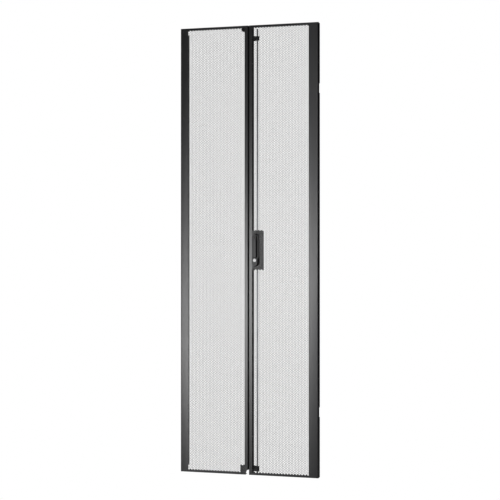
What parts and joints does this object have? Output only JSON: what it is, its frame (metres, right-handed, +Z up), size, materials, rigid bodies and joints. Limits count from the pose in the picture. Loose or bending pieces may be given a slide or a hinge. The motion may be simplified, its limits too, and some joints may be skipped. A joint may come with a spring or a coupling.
{
  "type": "perforated rack door",
  "caption": "Split perforated sheet-steel door for a floor-standing server rack: two hinged leaves, swing handle with key cylinder, latch rods and slide bolts.",
  "frame": {"origin": "bottom centre of the door's bounding box, on the centre gap between the leaves", "axes": "+Z up along the leaves' long edges, front of the door towards -Y, +X to the right seen from the front"},
  "size_m": [0.5976, 0.063, 1.885],
  "materials": {
    "powder_coat": "satin black powder coat",
    "black_plastic": "satin moulded plastic",
    "zinc": "zinc plated",
    "chrome": "polished",
    "zinc_casting": "die-cast",
    "rubber": "black sealing strip"
  },
  "bodies": {
    "rack_hinges": {"hinge_bracket_upper_left": "zinc", "hinge_bracket_lower_left": "zinc", "hinge_bracket_upper_right": "zinc", "hinge_bracket_lower_right": "zinc", "hinge_pin_upper_left": "zinc", "hinge_pin_lower_left": "zinc", "hinge_pin_upper_right": "zinc", "hinge_pin_lower_right": "zinc"},
    "left_leaf": {"left_panel": "powder_coat", "left_hinge_channel": "powder_coat", "left_knuckle_upper": "zinc", "left_knuckle_lower": "zinc", "left_rivets": "zinc", "left_earth_stud": "zinc", "left_seal": "rubber", "top_bolt_guide": "black_plastic", "bottom_bolt_guide": "black_plastic"},
    "left_top_bolt": {"top_bolt": "zinc"},
    "left_bottom_bolt": {"bottom_bolt": "zinc"},
    "right_leaf": {"right_panel": "powder_coat", "right_hinge_channel": "powder_coat", "right_knuckle_upper": "zinc", "right_knuckle_lower": "zinc", "right_rivets": "zinc", "right_earth_stud": "zinc", "top_rod_guide": "black_plastic", "bottom_rod_guide": "black_plastic", "handle_base": "black_plastic", "gearbox_body": "zinc_casting", "gearbox_cover": "zinc", "cover_screws": "zinc", "lock_collar": "chrome", "lock_nut": "zinc"},
    "key_plug": {"lock_plug": "chrome", "lock_cam": "zinc"},
    "swing_head": {"handle_head": "black_plastic", "drive_pinion": "zinc", "spindle_screw": "zinc", "lever_pin": "zinc"},
    "lever": {"handle_lever": "black_plastic"},
    "upper_latch": {"upper_rod": "zinc"},
    "lower_latch": {"lower_rod": "zinc"}
  },
  "joints": [
    {"name": "left_leaf_swing", "type": "hinge", "parent": "rack_hinges", "child": "left_leaf", "pos_m": [-0.2888, 0.0175, 0.9425], "axis": [0, 0, -1], "range_deg": [0, 105]},
    {"name": "right_leaf_swing", "type": "hinge", "parent": "rack_hinges", "child": "right_leaf", "pos_m": [0.2888, 0.0175, 0.9425], "axis": [0, 0, 1], "range_deg": [0, 105]},
    {"name": "top_bolt_slide", "type": "slide", "parent": "left_leaf", "child": "left_top_bolt", "axis": [0, 0, 1], "range_m": [0, 0.009]},
    {"name": "bottom_bolt_slide", "type": "slide", "parent": "left_leaf", "child": "left_bottom_bolt", "axis": [0, 0, -1], "range_m": [0, 0.009]},
    {"name": "key_turn", "type": "hinge", "parent": "right_leaf", "child": "key_plug", "pos_m": [0.031, -0.02, 0.9], "axis": [0, -1, 0], "range_deg": [0, 90]},
    {"name": "handle_turn", "type": "hinge", "parent": "right_leaf", "child": "swing_head", "pos_m": [0.031, -0.02, 0.9935], "axis": [0, -1, 0], "range_deg": [0, 90]},
    {"name": "lever_tilt", "type": "hinge", "parent": "swing_head", "child": "lever", "pos_m": [0.031, -0.025, 0.9925], "axis": [-1, 0, 0], "range_deg": [0, 30]},
    {"name": "upper_rod_slide", "type": "slide", "parent": "right_leaf", "child": "upper_latch", "axis": [0, 0, -1], "range_m": [0, 0.01256]},
    {"name": "lower_rod_slide", "type": "slide", "parent": "right_leaf", "child": "lower_latch", "axis": [0, 0, 1], "range_m": [0, 0.01256]}
  ],
  "couplings": [
    {"joint": "handle_turn", "follows": "upper_rod_slide", "rad_per_m": 125},
    {"joint": "lower_rod_slide", "follows": "upper_rod_slide", "ratio": 1}
  ]
}
